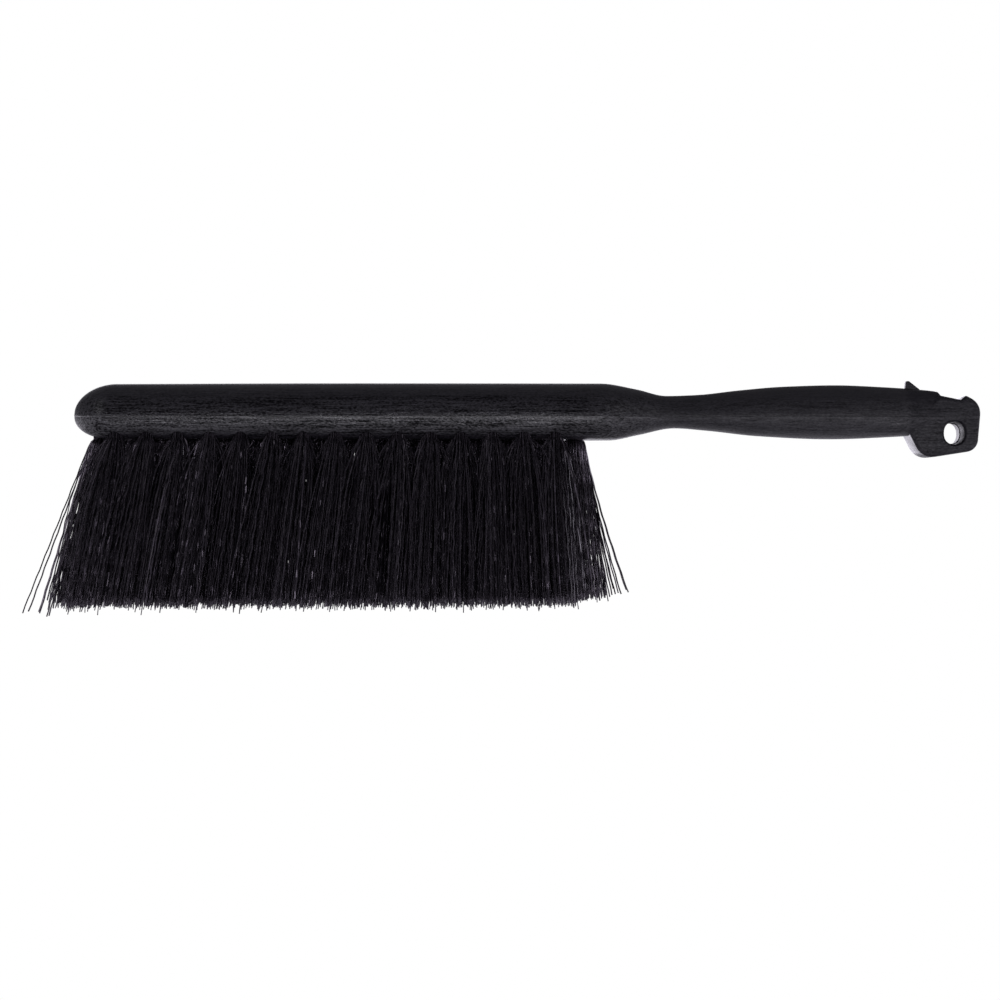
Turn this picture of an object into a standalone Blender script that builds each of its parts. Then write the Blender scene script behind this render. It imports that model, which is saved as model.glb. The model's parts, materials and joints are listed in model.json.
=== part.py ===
"""Bee brush: a one-piece moulded block and handle that holds 46 stapled filament tufts.

Frame: metres, +Z up, bristles down. The origin is on the trimmed tip plane, under the middle
of the rows, and +X runs along the handle. The two halves of the mould met at PARTING_Z on the nose and
PARTING_DROP lower along the sides.

The tufts stand in three rows. The filaments are held stiffly where they leave the block and
bend below it, so each row is two solids: tuft roots, which stay with the block, and a
bristle field, which swings about an axis a little below the block.
"""

import math

import bmesh
import bpy
import numpy as np
from mathutils import Matrix, Vector

MM = 0.001
GAP = 0.3 * MM  # clearance left between neighbouring pieces

# Heights
TRIM_LENGTH = 65.0 * MM  # filament showing below the block
UNDERSIDE_Z = TRIM_LENGTH
PARTING_Z = UNDERSIDE_Z + 9.5 * MM

# Block and handle, in millimetres along X and across. Each profile is (x, value) and runs
# smoothly through its points.
TOP_PROFILE = (  # height above PARTING_Z
    (-86.4, 12.2), (0, 12.5), (103, 12.4), (117, 10.2), (129, 7.6), (141, 8.0),
    (158, 9.85), (175, 11.25), (195, 11.8), (215, 11.0), (227, 10.1), (234.6, 9.2),
    (236.1, 7.6),
)
BOTTOM_PROFILE = (  # depth below PARTING_Z
    (-88.4, 9.5), (107, 9.6), (118, 7.7), (132, 5.1), (145, 6.05),
    (165, 8.2), (193, 9.4), (221, 8.3), (236.1, 7.0),
)
WIDTH_PROFILE = (  # half the width at the parting line
    (-86.7, 16.6), (100, 16.6), (115, 12.8), (133, 8.4), (152, 9.8),
    (190, 12.2), (215, 10.6), (229, 8.7), (236.1, 8.2),
)
# Share of the width that is flat underneath, and superellipse exponents of the section
FLAT_SHARE_PROFILE = ((-86.7, 0.62), (100, 0.62), (126, 0.1), (140, 0.0), (236.1, 0.0))
UPPER_FULLNESS_PROFILE = (
    (-86.7, 2.7), (100, 2.7), (135, 2.2), (214, 2.2), (231, 3.4), (236.1, 3.6),
)
LOWER_FULLNESS_PROFILE = ((-86.7, 2.4), (207, 2.4), (223, 3.8), (236.1, 3.8))
PARTING_DROP = 1.0
UPPER_DRAFT = 0.13  # share of its width that a section loses to the mould's draft, going up
LOWER_DRAFT = 0.10  # and going down
LEAST_FLAT = 0.15  # half the width of the flat along the handle's underside
NOSE_X = -103.3
NOSE_FULLNESS = 1.88  # superellipse exponent of the nose
NOSE_RINGS = 7
QUARTER_SEGMENTS = 6  # points on each quarter of a section

# Tab at the end of the handle and tooth above it, in millimetres. The corners are (x, z,
# radius) of the side outlines.
TAB_CORNERS = (
    (234.4, 82.1, 0.0), (243.2, 80.3, 0.8), (245.1, 82.0, 0.9), (250.6, 79.0, 6.5),
    (250.7, 74.4, 0.0), (249.5, 60.6, 5.0), (228.0, 57.25, 7.0), (222.4, 68.5, 0.0),
    (228.0, 75.0, 0.0),
)
TAB_THICKNESS = 16.0
TAB_EDGE_RADIUS = 1.6
HANG_HOLE_CENTRE = (240.5, 67.3)
HANG_HOLE_SIZE = (8.0, 8.8)
HANG_HOLE_FULLNESS = 2.3  # superellipse exponent
HANG_HOLE_SIDES = 20
TOOTH_CORNERS = (
    (222.3, 82.0, 0.0), (222.9, 87.9, 0.5), (224.1, 87.9, 0.5), (228.3, 84.6, 0.8),
    (229.3, 81.0, 0.0),
)
TOOTH_THICKNESS = 3.0
TOOTH_EDGE_RADIUS = 0.45
SMALLEST_RADIUS = 0.05  # of a corner that is moved inwards

# Rows of tufts
TUFT_PITCH = 12.15 * MM
END_SHIFT = 1.8 * MM  # how far the end tufts of the middle row stand out from the even pitch
ROW_SPACING = 12.4 * MM  # from row to row, at the underside
ROW_SPLAY = math.radians(8)  # outward lean of the outer rows
ROW_SIDES = {"front": -1, "middle": 0, "rear": 1}
ROW_TUFTS = {"front": 15, "middle": 16, "rear": 15}
HOLE_RADIUS = 3.0 * MM
HOLE_DEPTH = 12.5 * MM
HOLE_SIDES = 12

# Staple anchors: flat wire on edge, lying across each hole
ANCHOR_SIZE = Vector((5.0, 0.45, 2.2)) * MM
ANCHOR_TURN = math.radians(30)  # off the line of the row, so that bites don't line up
FOLD_THICKNESS = 1.0 * MM  # filament folded over the top of the anchor
ANCHOR_DEPTH = HOLE_DEPTH - GAP - FOLD_THICKNESS - GAP - ANCHOR_SIZE.z / 2

# Tuft roots and bristle fields
STEM_RADIUS = HOLE_RADIUS - GAP
ROOT_LENGTH = 6.4 * MM  # below the block, where the flared tufts meet
ROOT_FLARE = (5.7 * MM, 3.0 * MM)  # half-axes of a tuft just above the web
WEB_THICKNESS = 1.2 * MM
WEB_HALF_WIDTH = 3.4 * MM
ROW_END = 5.0 * MM  # from the last hole's centre to the end of the row
FIELD_TOP_RADIUS = 3.0 * MM
PIVOT_DEPTH = ROOT_LENGTH + GAP + FIELD_TOP_RADIUS
FIELD_TIP_HALF_WIDTH = 9.6 * MM
FIELD_END_FLARES = (12.0 * MM, 6.5 * MM)  # extra length at the tips: nose end, handle end
FIELD_TOP_SEGMENTS = 10

SHARP_ANGLE = math.radians(35)  # between faces; below this a surface is shaded as round


def clear_scene():
    for obj in list(bpy.data.objects):
        bpy.data.objects.remove(obj, do_unlink=True)


def new_collection(name):
    collection = bpy.data.collections.new(name)
    bpy.context.scene.collection.children.link(collection)
    return collection


def make_material(name, colour, roughness, metallic=0.0):
    material = bpy.data.materials.new(name)
    material.use_nodes = True
    shader = material.node_tree.nodes["Principled BSDF"]
    shader.inputs["Base Color"].default_value = (*colour, 1.0)
    shader.inputs["Roughness"].default_value = roughness
    shader.inputs["Metallic"].default_value = metallic
    material.diffuse_color = (*colour, 1.0)
    return material


def add_object(name, bm, collection, material=None):
    """The bmesh as a new object in the collection, normals facing out."""
    bmesh.ops.recalc_face_normals(bm, faces=bm.faces)
    mesh = bpy.data.meshes.new(name)
    bm.to_mesh(mesh)
    bm.free()
    obj = bpy.data.objects.new(name, mesh)
    collection.objects.link(obj)
    if material:
        mesh.materials.append(material)
    return obj


def hide_helper(obj):
    obj.hide_render = True
    obj.display_type = "WIRE"
    return obj


def smooth_round_faces(obj):
    obj.data.shade_smooth()
    obj.data.set_sharp_from_angle(angle=SHARP_ANGLE)


def add_boolean(obj, other, operation):
    modifier = obj.modifiers.new(f"{operation.lower()}_{other.name}", "BOOLEAN")
    modifier.operation = operation
    modifier.solver = "EXACT"
    modifier.object = other


# Curves that the shapes follow


def profile(points):
    """A smooth function through (x, value) points that never swings past a point."""
    x, y = np.array(points, float).T
    step = np.diff(x)
    slope = np.diff(y) / step
    tangent = np.zeros(len(x))
    for i in range(1, len(x) - 1):
        if slope[i - 1] * slope[i] > 0:
            tangent[i] = 2 / (1 / slope[i - 1] + 1 / slope[i])
    tangent[0], tangent[-1] = slope[0], slope[-1]

    def value(at):
        at = min(max(at, x[0]), x[-1])
        i = min(int(np.searchsorted(x, at, side="right")) - 1, len(step) - 1)
        t = (at - x[i]) / step[i]
        start = (1 + 2 * t) * (1 - t) ** 2 * y[i] + t * (1 - t) ** 2 * step[i] * tangent[i]
        end = t**2 * (3 - 2 * t) * y[i + 1] - t**2 * (1 - t) * step[i] * tangent[i + 1]
        return start + end

    return value


def nose_factor(x, start):
    """How much of its full size a section keeps at x, round the curve of the nose."""
    if x >= start:
        return 1.0
    reach = (start - x) / (start - NOSE_X)
    return max(0.0, 1 - reach**NOSE_FULLNESS) ** (1 / NOSE_FULLNESS)


def rounded_outline(corners, arc_segments):
    """Points of a closed outline through (a, b, radius) corners, each rounded by an arc."""
    points = []
    count = len(corners)
    for i, (a, b, radius) in enumerate(corners):
        corner = Vector((a, b))
        if radius == 0:
            points.append(corner)
            continue
        before = (Vector(corners[i - 1][:2]) - corner).normalized()
        after = (Vector(corners[(i + 1) % count][:2]) - corner).normalized()
        half_angle = before.angle(after) / 2
        centre = corner + (before + after).normalized() * radius / math.sin(half_angle)
        start = corner + before * radius / math.tan(half_angle) - centre
        end = corner + after * radius / math.tan(half_angle) - centre
        turn = start.angle_signed(end)
        for k in range(arc_segments + 1):
            angle = -turn * k / arc_segments
            points.append(centre + Matrix.Rotation(angle, 2) @ start)
    return points


def ellipse_outline(centre, size, fullness, segments):
    """Points of a superellipse of the given full size."""
    points = []
    for k in range(segments):
        angle = 2 * math.pi * k / segments
        c, s = math.cos(angle), math.sin(angle)
        points.append(
            Vector((
                centre[0] + size[0] / 2 * math.copysign(abs(c) ** (2 / fullness), c),
                centre[1] + size[1] / 2 * math.copysign(abs(s) ** (2 / fullness), s),
            ))
        )
    return points


# Block and handle


def block_section(x, profiles):
    """The closed section at x, in metres, from the +Y side over the top and back below."""
    drop = PARTING_DROP * nose_factor(x, WIDTH_PROFILE[0][0])
    top = profiles["top"](x) * nose_factor(x, TOP_PROFILE[0][0]) + drop
    bottom = profiles["bottom"](x) * nose_factor(x, BOTTOM_PROFILE[0][0]) - drop
    width = profiles["width"](x) * nose_factor(x, WIDTH_PROFILE[0][0])
    flat = max(width * profiles["flat_share"](x), LEAST_FLAT)
    upper_power = 2 / profiles["upper_fullness"](x)
    lower_power = 2 / profiles["lower_fullness"](x)
    quarter = [math.pi / 2 * k / QUARTER_SEGMENTS for k in range(QUARTER_SEGMENTS)]
    upper = []
    for t in quarter:
        rise = math.sin(t) ** upper_power
        reach = width * math.cos(t) ** upper_power
        upper.append((reach * (1 - UPPER_DRAFT * rise), top * rise))
    lower = []
    for t in quarter[1:]:
        fall = math.sin(t) ** lower_power
        reach = (width - flat) * math.cos(t) ** lower_power
        lower.append((flat + reach * (1 - LOWER_DRAFT * fall), -bottom * fall))
    lower.append((flat, -bottom))
    ring = upper + [(0.0, top)] + [(-y, z) for y, z in reversed(upper)]
    ring += [(-y, z) for y, z in lower] + list(reversed(lower))
    return [Vector((x * MM, y * MM, PARTING_Z + (z - drop) * MM)) for y, z in ring]


def section_stations():
    """Where the sections stand along X: close together where the outline turns."""
    nose_length = TOP_PROFILE[0][0] - NOSE_X
    nose = [
        NOSE_X + nose_length * (1 - math.cos(math.pi / 2 * (k + 1) / NOSE_RINGS))
        for k in range(NOSE_RINGS)
    ]
    head = [-45.0, 0.0, 50.0, 99.0]
    shoulder = list(np.arange(103.0, 138.0, 3.5))
    grip = list(np.arange(142.0, 229.0, 8.0))
    end = [230.0, 232.5, 234.6, 235.4, 236.1]
    return nose + head + shoulder + grip + end


def loft_block():
    """The solid block and handle, as a loft from the point of the nose to the grip's end."""
    profiles = {
        "top": profile(TOP_PROFILE),
        "bottom": profile(BOTTOM_PROFILE),
        "width": profile(WIDTH_PROFILE),
        "flat_share": profile(FLAT_SHARE_PROFILE),
        "upper_fullness": profile(UPPER_FULLNESS_PROFILE),
        "lower_fullness": profile(LOWER_FULLNESS_PROFILE),
    }
    bm = bmesh.new()
    rings = []
    for x in section_stations():
        rings.append([bm.verts.new(p) for p in block_section(x, profiles)])
    tip = bm.verts.new((NOSE_X * MM, 0, PARTING_Z))
    count = len(rings[0])
    for k in range(count):
        bm.faces.new((tip, rings[0][k], rings[0][(k + 1) % count]))
    for near, far in zip(rings, rings[1:]):
        for k in range(count):
            after = (k + 1) % count
            bm.faces.new((near[k], far[k], far[after], near[after]))
    bm.faces.new(rings[-1])
    return bm


def inset_corners(corners, inset):
    """The same outline moved inwards all round: its straight edges and its corner arcs."""
    count = len(corners)
    points = [Vector(corner[:2]) for corner in corners]
    side = math.copysign(1, sum(points[i].cross(points[(i + 1) % count]) for i in range(count)))
    moved = []
    for i, corner in enumerate(corners):
        before = (points[i] - points[i - 1]).normalized()
        after = (points[(i + 1) % count] - points[i]).normalized()
        inward = (before.orthogonal() + after.orthogonal()) * side
        bend = before.cross(after) * side
        place = points[i] + inward * (inset / (1 + before.dot(after)))
        radius = corner[2]
        if radius:
            radius = max(radius - math.copysign(inset, bend), SMALLEST_RADIUS)
        moved.append((place.x, place.y, radius))
    return moved


def stack_outlines(levels):
    """A solid in the XZ plane through (y, outline) levels, all in millimetres."""
    bm = bmesh.new()
    rings = [
        [bm.verts.new((p.x * MM, y * MM, p.y * MM)) for p in outline] for y, outline in levels
    ]
    for near, far in zip(rings, rings[1:]):
        for k in range(len(near)):
            after = (k + 1) % len(near)
            bm.faces.new((near[k], near[after], far[after], far[k]))
    bm.faces.new(rings[0])
    bm.faces.new(rings[-1])
    return bm


def plate(corners, thickness, edge_radius, edge_segments, arc_segments):
    """A plate centred on Y = 0 with rounded edges."""
    insets = []
    for k in range(edge_segments + 1):
        angle = math.pi / 2 * k / edge_segments
        insets.append((
            -thickness / 2 + edge_radius * (1 - math.cos(angle)),
            edge_radius * (1 - math.sin(angle)),
        ))
    insets += [(-y, inset) for y, inset in reversed(insets)]
    return stack_outlines([
        (y, rounded_outline(inset_corners(corners, inset), arc_segments)) for y, inset in insets
    ])


def row_frame(row):
    """The frame of a row: its origin between the hole mouths, Z up along the holes."""
    side = ROW_SIDES[row]
    place = Matrix.Translation((0, side * ROW_SPACING, UNDERSIDE_Z))
    return place @ Matrix.Rotation(side * ROW_SPLAY, 4, "X")


def tuft_places(row):
    """X of each tuft of the row."""
    count = ROW_TUFTS[row]
    places = [(k - (count - 1) / 2) * TUFT_PITCH for k in range(count)]
    if row == "middle":
        places[0] -= END_SHIFT
        places[-1] += END_SHIFT
    return places


def tuft_hole_cutter(collection):
    bm = bmesh.new()
    below = 4 * MM
    length = HOLE_DEPTH + below
    for row in ROW_SIDES:
        for x in tuft_places(row):
            middle = Matrix.Translation((x, 0, HOLE_DEPTH - length / 2))
            bmesh.ops.create_cone(
                bm, cap_ends=True, segments=HOLE_SIDES, radius1=HOLE_RADIUS,
                radius2=HOLE_RADIUS, depth=length, matrix=row_frame(row) @ middle,
            )
    return hide_helper(add_object("tuft_hole_cutter", bm, collection))


def add_handle_block(parts, helpers, material):
    """Block, handle, hanging tab and tooth: one moulding, with its tuft holes and hang hole."""
    tab = plate(TAB_CORNERS, TAB_THICKNESS, TAB_EDGE_RADIUS, edge_segments=2, arc_segments=5)
    tab = hide_helper(add_object("tab_plate", tab, helpers))
    tooth = plate(
        TOOTH_CORNERS, TOOTH_THICKNESS, TOOTH_EDGE_RADIUS, edge_segments=1, arc_segments=3
    )
    tooth = hide_helper(add_object("tooth_plate", tooth, helpers))
    outline = ellipse_outline(
        HANG_HOLE_CENTRE, HANG_HOLE_SIZE, HANG_HOLE_FULLNESS, HANG_HOLE_SIDES
    )
    hang_hole = stack_outlines([(-TAB_THICKNESS, outline), (TAB_THICKNESS, outline)])
    hang_hole = hide_helper(add_object("hang_hole_cutter", hang_hole, helpers))
    block = add_object("handle_block", loft_block(), parts, material)
    add_boolean(block, tab, "UNION")
    add_boolean(block, tooth, "UNION")
    add_boolean(block, hang_hole, "DIFFERENCE")
    add_boolean(block, tuft_hole_cutter(helpers), "DIFFERENCE")
    smooth_round_faces(block)


# Tufts and their anchors


def add_row_frame(row, collection):
    frame = bpy.data.objects.new(f"{row}_row_frame", None)
    frame.matrix_world = row_frame(row)
    frame.empty_display_size = 5 * MM
    collection.objects.link(frame)
    return frame


def add_anchors(row, frame, mesh, collection):
    for number, x in enumerate(tuft_places(row), start=1):
        anchor = bpy.data.objects.new(f"anchor_{row}_{number:02d}", mesh)
        anchor.parent = frame
        anchor.location = (x, 0, ANCHOR_DEPTH)
        anchor.rotation_euler.z = ANCHOR_TURN
        collection.objects.link(anchor)


def anchor_mesh(material):
    bm = bmesh.new()
    bmesh.ops.create_cube(bm, size=1, matrix=Matrix.Diagonal((*ANCHOR_SIZE, 1)))
    mesh = bpy.data.meshes.new("anchor")
    bm.to_mesh(mesh)
    bm.free()
    mesh.materials.append(material)
    return mesh


def add_tuft_root(bm, x):
    """One tuft from the web up to the fold over its anchor: a flare, then a straight stem."""
    top = HOLE_DEPTH - GAP
    levels = (
        (-ROOT_LENGTH + WEB_THICKNESS / 2, *ROOT_FLARE),
        (0.0, STEM_RADIUS, STEM_RADIUS),
        (top, STEM_RADIUS, STEM_RADIUS),
    )
    rings = []
    for z, half_x, half_y in levels:
        ring = []
        for k in range(HOLE_SIDES):
            angle = 2 * math.pi * (k + 0.5) / HOLE_SIDES
            ring.append(
                bm.verts.new((x + half_x * math.cos(angle), half_y * math.sin(angle), z))
            )
        rings.append(ring)
    for low, high in zip(rings, rings[1:]):
        for k in range(HOLE_SIDES):
            after = (k + 1) % HOLE_SIDES
            bm.faces.new((low[k], low[after], high[after], high[k]))
    bm.faces.new(rings[0])
    bm.faces.new(rings[-1])


def add_tuft_roots(row, frame, parts, helpers, material):
    """The held ends of a row of tufts, joined by a web where the tufts meet below the block."""
    places = tuft_places(row)
    half_length = places[-1] + ROW_END
    web = bmesh.new()
    size = Matrix.Diagonal((2 * half_length, 2 * WEB_HALF_WIDTH, WEB_THICKNESS, 1))
    height = Matrix.Translation((0, 0, -ROOT_LENGTH + WEB_THICKNESS / 2))
    bmesh.ops.create_cube(web, size=1, matrix=height @ size)
    roots = add_object(f"tuft_roots_{row}", web, parts, material)

    stems = bmesh.new()
    windows = bmesh.new()
    window = Vector((4 * STEM_RADIUS, ANCHOR_SIZE.y + 2 * GAP, ANCHOR_SIZE.z + 2 * GAP))
    for x in places:
        add_tuft_root(stems, x)
        place = Matrix.Translation((x, 0, ANCHOR_DEPTH)) @ Matrix.Rotation(ANCHOR_TURN, 4, "Z")
        bmesh.ops.create_cube(windows, size=1, matrix=place @ Matrix.Diagonal((*window, 1)))
    stems_object = hide_helper(add_object(f"stems_{row}", stems, helpers))
    windows_object = hide_helper(add_object(f"anchor_windows_{row}", windows, helpers))
    for obj in (roots, stems_object, windows_object):
        obj.parent = frame
    add_boolean(roots, stems_object, "UNION")
    add_boolean(roots, windows_object, "DIFFERENCE")
    smooth_round_faces(roots)


def field_outline(row):
    """(y, z) outline of a bristle field from its axis: round top, spreading sides, flat tips."""
    splay = ROW_SIDES[row] * ROW_SPLAY
    pivot_z = UNDERSIDE_Z - PIVOT_DEPTH * math.cos(splay)
    outline = []
    for k in range(FIELD_TOP_SEGMENTS + 1):
        angle = math.pi * k / FIELD_TOP_SEGMENTS + splay
        outline.append((FIELD_TOP_RADIUS * math.cos(angle), FIELD_TOP_RADIUS * math.sin(angle)))
    lean = pivot_z * math.tan(splay)
    outline.append((lean - FIELD_TIP_HALF_WIDTH, -pivot_z))
    outline.append((lean + FIELD_TIP_HALF_WIDTH, -pivot_z))
    return outline


def add_bristle_field(row, collection, material):
    """The free length of a row of tufts. The object's origin is on the axis it bends about."""
    pivot = row_frame(row) @ Vector((0, 0, -PIVOT_DEPTH))
    half_length = tuft_places(row)[-1] + ROW_END
    bm = bmesh.new()
    near = bm.faces.new([bm.verts.new((-half_length, y, z)) for y, z in field_outline(row)])
    raised = bmesh.ops.extrude_face_region(bm, geom=[near])["geom"]
    far = [v for v in raised if isinstance(v, bmesh.types.BMVert)]
    bmesh.ops.translate(bm, verts=far, vec=(2 * half_length, 0, 0))
    for vertex in bm.verts:
        depth = -vertex.co.z / pivot.z
        if vertex.co.x < 0:
            vertex.co.x -= FIELD_END_FLARES[0] * depth
        else:
            vertex.co.x += FIELD_END_FLARES[1] * depth
    field = add_object(f"bristles_{row}", bm, collection, material)
    field.location = pivot
    smooth_round_faces(field)


def main():
    clear_scene()
    parts = new_collection("bee_brush")
    helpers = new_collection("bee_brush_cutters")
    block_plastic = make_material("black_moulded_plastic", (0.012, 0.012, 0.014), 0.5)
    filament = make_material("black_filament", (0.008, 0.008, 0.009), 0.35)
    wire = make_material("galvanised_flat_wire", (0.55, 0.56, 0.57), 0.35, 1.0)
    add_handle_block(parts, helpers, block_plastic)
    staple = anchor_mesh(wire)
    for row in ROW_SIDES:
        frame = add_row_frame(row, parts)
        add_anchors(row, frame, staple, parts)
        add_tuft_roots(row, frame, parts, helpers, filament)
        add_bristle_field(row, parts, filament)


main()
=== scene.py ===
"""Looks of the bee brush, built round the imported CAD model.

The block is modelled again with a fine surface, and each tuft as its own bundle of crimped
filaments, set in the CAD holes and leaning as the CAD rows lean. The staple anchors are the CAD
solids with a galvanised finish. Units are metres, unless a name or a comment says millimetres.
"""

import json
import math

import bmesh
import bpy
import numpy as np
from mathutils import Matrix, Vector


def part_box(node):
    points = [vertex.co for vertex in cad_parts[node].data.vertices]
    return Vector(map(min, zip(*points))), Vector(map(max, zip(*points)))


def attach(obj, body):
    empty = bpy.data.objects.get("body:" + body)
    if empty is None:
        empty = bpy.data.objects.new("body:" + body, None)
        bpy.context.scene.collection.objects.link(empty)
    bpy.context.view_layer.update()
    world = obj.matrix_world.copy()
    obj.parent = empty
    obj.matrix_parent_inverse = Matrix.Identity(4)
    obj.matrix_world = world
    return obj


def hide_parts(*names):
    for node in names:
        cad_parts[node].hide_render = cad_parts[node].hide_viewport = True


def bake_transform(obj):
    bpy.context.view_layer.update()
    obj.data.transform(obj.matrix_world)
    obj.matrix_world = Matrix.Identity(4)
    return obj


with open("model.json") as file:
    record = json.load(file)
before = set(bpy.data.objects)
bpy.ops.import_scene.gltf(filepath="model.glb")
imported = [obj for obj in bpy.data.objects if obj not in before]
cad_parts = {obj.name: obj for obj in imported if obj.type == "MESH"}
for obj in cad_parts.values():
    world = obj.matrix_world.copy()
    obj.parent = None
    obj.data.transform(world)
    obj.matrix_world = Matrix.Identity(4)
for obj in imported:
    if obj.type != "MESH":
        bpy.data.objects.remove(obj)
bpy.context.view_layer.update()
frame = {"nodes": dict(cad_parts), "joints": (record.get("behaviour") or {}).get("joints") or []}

MM = 0.001
ROWS = ("front", "middle", "rear")

# Block and handle, in millimetres: the CAD profiles, sampled more finely here
TOP_PROFILE = (
    (-86.4, 12.2), (0, 12.5), (103, 12.4), (117, 10.2), (129, 7.6), (141, 8.0),
    (158, 9.85), (175, 11.25), (195, 11.8), (215, 11.0), (227, 10.1), (234.6, 9.2),
    (236.1, 7.6),
)
BOTTOM_PROFILE = (
    (-88.4, 9.5), (107, 9.6), (118, 7.7), (132, 5.1), (145, 6.05),
    (165, 8.2), (193, 9.4), (221, 8.3), (236.1, 7.0),
)
WIDTH_PROFILE = (
    (-86.7, 16.6), (100, 16.6), (115, 12.8), (133, 8.4), (152, 9.8),
    (190, 12.2), (215, 10.6), (229, 8.7), (236.1, 8.2),
)
FLAT_SHARE_PROFILE = ((-86.7, 0.62), (100, 0.62), (126, 0.1), (140, 0.0), (236.1, 0.0))
UPPER_FULLNESS_PROFILE = (
    (-86.7, 2.7), (100, 2.7), (135, 2.2), (214, 2.2), (231, 3.4), (236.1, 3.6),
)
LOWER_FULLNESS_PROFILE = ((-86.7, 2.4), (207, 2.4), (223, 3.8), (236.1, 3.8))
LEAST_FLAT = 0.15
UPPER_DRAFT = 0.13  # share of the width lost over each half's height to the mould's draft
LOWER_DRAFT = 0.10
UNDERSIDE_TO_PARTING = 9.5  # at the point of the nose
ANCHOR_DEPTH = 9.8  # from the underside up to the middle of an anchor
PARTING_DROP = 1.0  # how much lower the parting line runs along the sides
NOSE_FULLNESS = 1.88  # superellipse exponent
NOSE_POINT = 0.42  # how far the flash stands out at the point of the nose
NOSE_RINGS = 26
QUARTER_SEGMENTS = 20
FLASH_HEIGHT = 0.16  # how far the parting flash stands proud
FLASH_HALF_WIDTH = 0.14
FLASH_FULL_TOP = 6.0  # a section that rises less than this has a smaller flash
GROOVE_DEPTH = 0.10
SHARP_ANGLE = math.radians(32)  # between faces; below this a surface is shaded as round
HANDLE_FADE_X = (90, 130)  # where the looks of the block give way to those of the handle
TAB_FADE_X = (221, 224)
CROWN_FADE = (4.5, 7.5)  # above the parting line

TAB_CORNERS = (
    (234.4, 82.1, 0.0), (243.2, 80.3, 0.8), (245.1, 82.0, 0.9), (250.6, 79.0, 6.5),
    (250.7, 74.4, 0.0), (249.5, 60.6, 5.0), (228.0, 57.25, 7.0), (222.4, 68.5, 0.0),
    (228.0, 75.0, 0.0),
)
TAB_THICKNESS = 16.0
TAB_EDGE_RADIUS = 1.6
HANG_HOLE_CENTRE = (240.5, 67.3)
HANG_HOLE_SIZE = (8.0, 8.8)
HANG_HOLE_FULLNESS = 2.3  # superellipse exponent
HANG_HOLE_SIDES = 48
TOOTH_CORNERS = (
    (222.3, 82.0, 0.0), (222.9, 87.9, 0.5), (224.1, 87.9, 0.5), (228.3, 84.6, 0.8),
    (229.3, 81.0, 0.0),
)
TOOTH_THICKNESS = 3.0
TOOTH_EDGE_RADIUS = 0.45
PLATE_EDGE_SEGMENTS = 6
SMALLEST_RADIUS = 0.05  # of a corner that is moved inwards
HOLE_RADIUS = 3.0
HOLE_DEPTH = 12.5
HOLE_SIDES = 40

# Tufts, in millimetres
FILAMENTS = 116  # ends to a tuft
END_FILAMENTS = 150  # the same for the last tufts, which nothing stands behind
FILAMENT_RADIUS = 0.235
STRAY_RADIUS = 0.33
FILAMENT_SIDES = 3
BUNDLE_RADIUS = 2.75
BUNDLE_DISORDER = 0.10
TIP_SPREAD_X = 7.0  # how far a tuft's outer filaments stand from its middle at the tips
TIP_SPREAD_Y = 8.0
LANE_AT_MOUTH = 5.9  # half the width that a row may fill
LANE_AT_TIPS = 10.2
SPLAY_POWERS_X = (1.0, 2.6)  # how early in its length a filament leaves its neighbours
EARLY_SHARE = 0.42  # filaments that leave at once
EARLY_POWER = 6.5
END_TUFT_X = 90.0  # beyond this a tuft is the last of its row
END_OUTER_POWERS = (1.0, 1.15)
END_INNER_POWER = 12.0
MOUTH_SPREAD = 0.25  # share by which a bundle springs apart as it leaves its hole
END_MOUTH_SPREAD = 0.5  # the same for the last tufts
MOUTH_SPREAD_DEPTH = 0.8
FACETED_SHARE = 0.2  # filaments whose sides catch the light as flats
SPLAY_POWERS_Y = (1.0, 2.0)
TIP_WANDER = 2.4
END_TIP_WANDER = 1.5
SET_ANGLES = ((-93, -10.6), (-60, -7.6), (-3, -5.8), (55, 0.0), (93, 4.3))  # (x, lean in degrees)
CRIMP_PITCH = 9.0
CRIMP_AMPLITUDE = 0.34
CRIMP_START = 2.5  # depth below the block at which the crimp is full
CRIMP_PITCH_SCATTER = 0.02
CRIMP_PHASE_SCATTER = 0.5  # in radians
CRIMP_PLANE = (1.57, 0.6)  # mean and scatter of its direction in radians; 0 is along the row
CRIMP_DRIFT = 0.9  # radians of phase between filaments a millimetre apart
PATH_POINTS = 26  # along the free length
FIRST_STEP = 0.015  # share of the free length at the point just below the block
HELD_HEIGHTS = (11.3, 10.4, 8.2, 2.0)  # points of a path inside its hole, above the mouth
HELD_SHARES = (0.25, 0.95, 1.0, 1.0)  # how wide the bundle is there; it closes at the fold
TIP_HEIGHTS = (  # (x, mean z)
    (-110, 1.0), (0, 1.3), (70, 1.6), (88, 1.9), (98, 3.2), (106, 4.4),
)
TIP_SCATTER = 0.9
LONG_SHARE = 0.07  # filaments that the trim left long
LONG_BY = 2.2
LOOSE_LEFT_TIPS = (
    (-124.4, -3.3), (-121.8, -2.6), (-117.9, -3.5), (-117.0, -2.6), (-114.7, -4.6),
    (-112.8, -4.1), (-114.0, 1.9), (-111.3, -1.2),
)
LOOSE_RIGHT_TIPS = (
    (113.9, 5.0), (113.3, 5.9), (111.0, 4.4), (110.2, 4.8), (108.8, 4.4), (108.0, 6.4),
    (107.7, 3.9), (106.6, 3.2), (105.5, 3.7), (104.6, 2.8), (103.6, 2.4), (102.9, 1.6),
)
LOOSE_POWERS = (1.0, 1.25)  # how they curve outwards, at the nose and at the handle
LOOSE_WAVE = 0.10
LOOSE_WAVE_GROWTH = 6  # the wave is full after one sixth of the length
LOOSE_INSET = 0.15  # of their starts from the bundle's edge
LOOSE_START_Y = 1.2
LOOSE_SPREAD_Y = 3.5

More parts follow.
